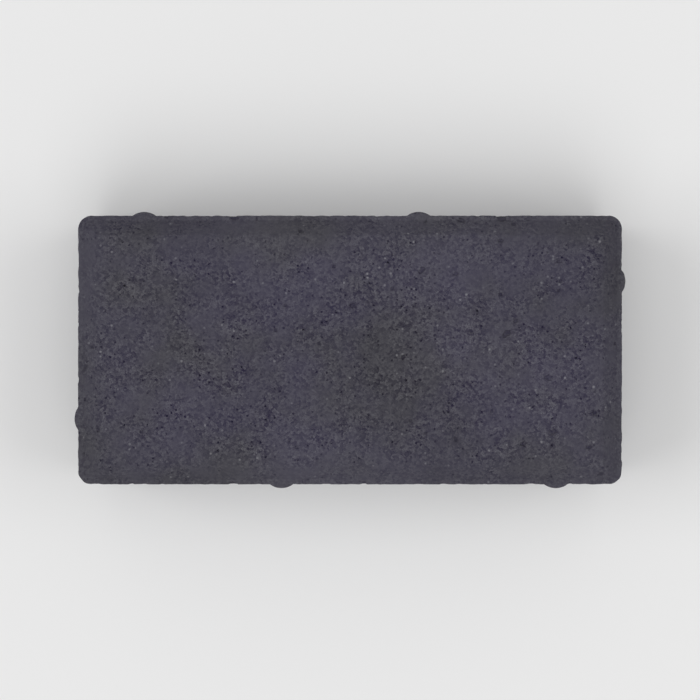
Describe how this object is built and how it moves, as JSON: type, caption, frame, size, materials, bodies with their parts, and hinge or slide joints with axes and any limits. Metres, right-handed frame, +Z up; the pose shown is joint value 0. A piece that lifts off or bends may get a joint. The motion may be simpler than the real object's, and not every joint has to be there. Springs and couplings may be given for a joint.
{
  "type": "concrete block paver",
  "caption": "Rectangular dark grey concrete block paver with a chamfered top edge and upright spacer nibs on its sides, for laying in bonds.",
  "frame": {"origin": "centre of the bedding face, the flat underside that the block lies on", "axes": "+X along the block's length, +Y across its width, +Z up from the bedding face to the wearing face"},
  "size_m": [0.201, 0.101, 0.06],
  "materials": {
    "concrete": "matt, fine-grained, through-coloured anthracite concrete"
  },
  "bodies": {
    "root": {"paver_block": "concrete"}
  },
  "joints": []
}
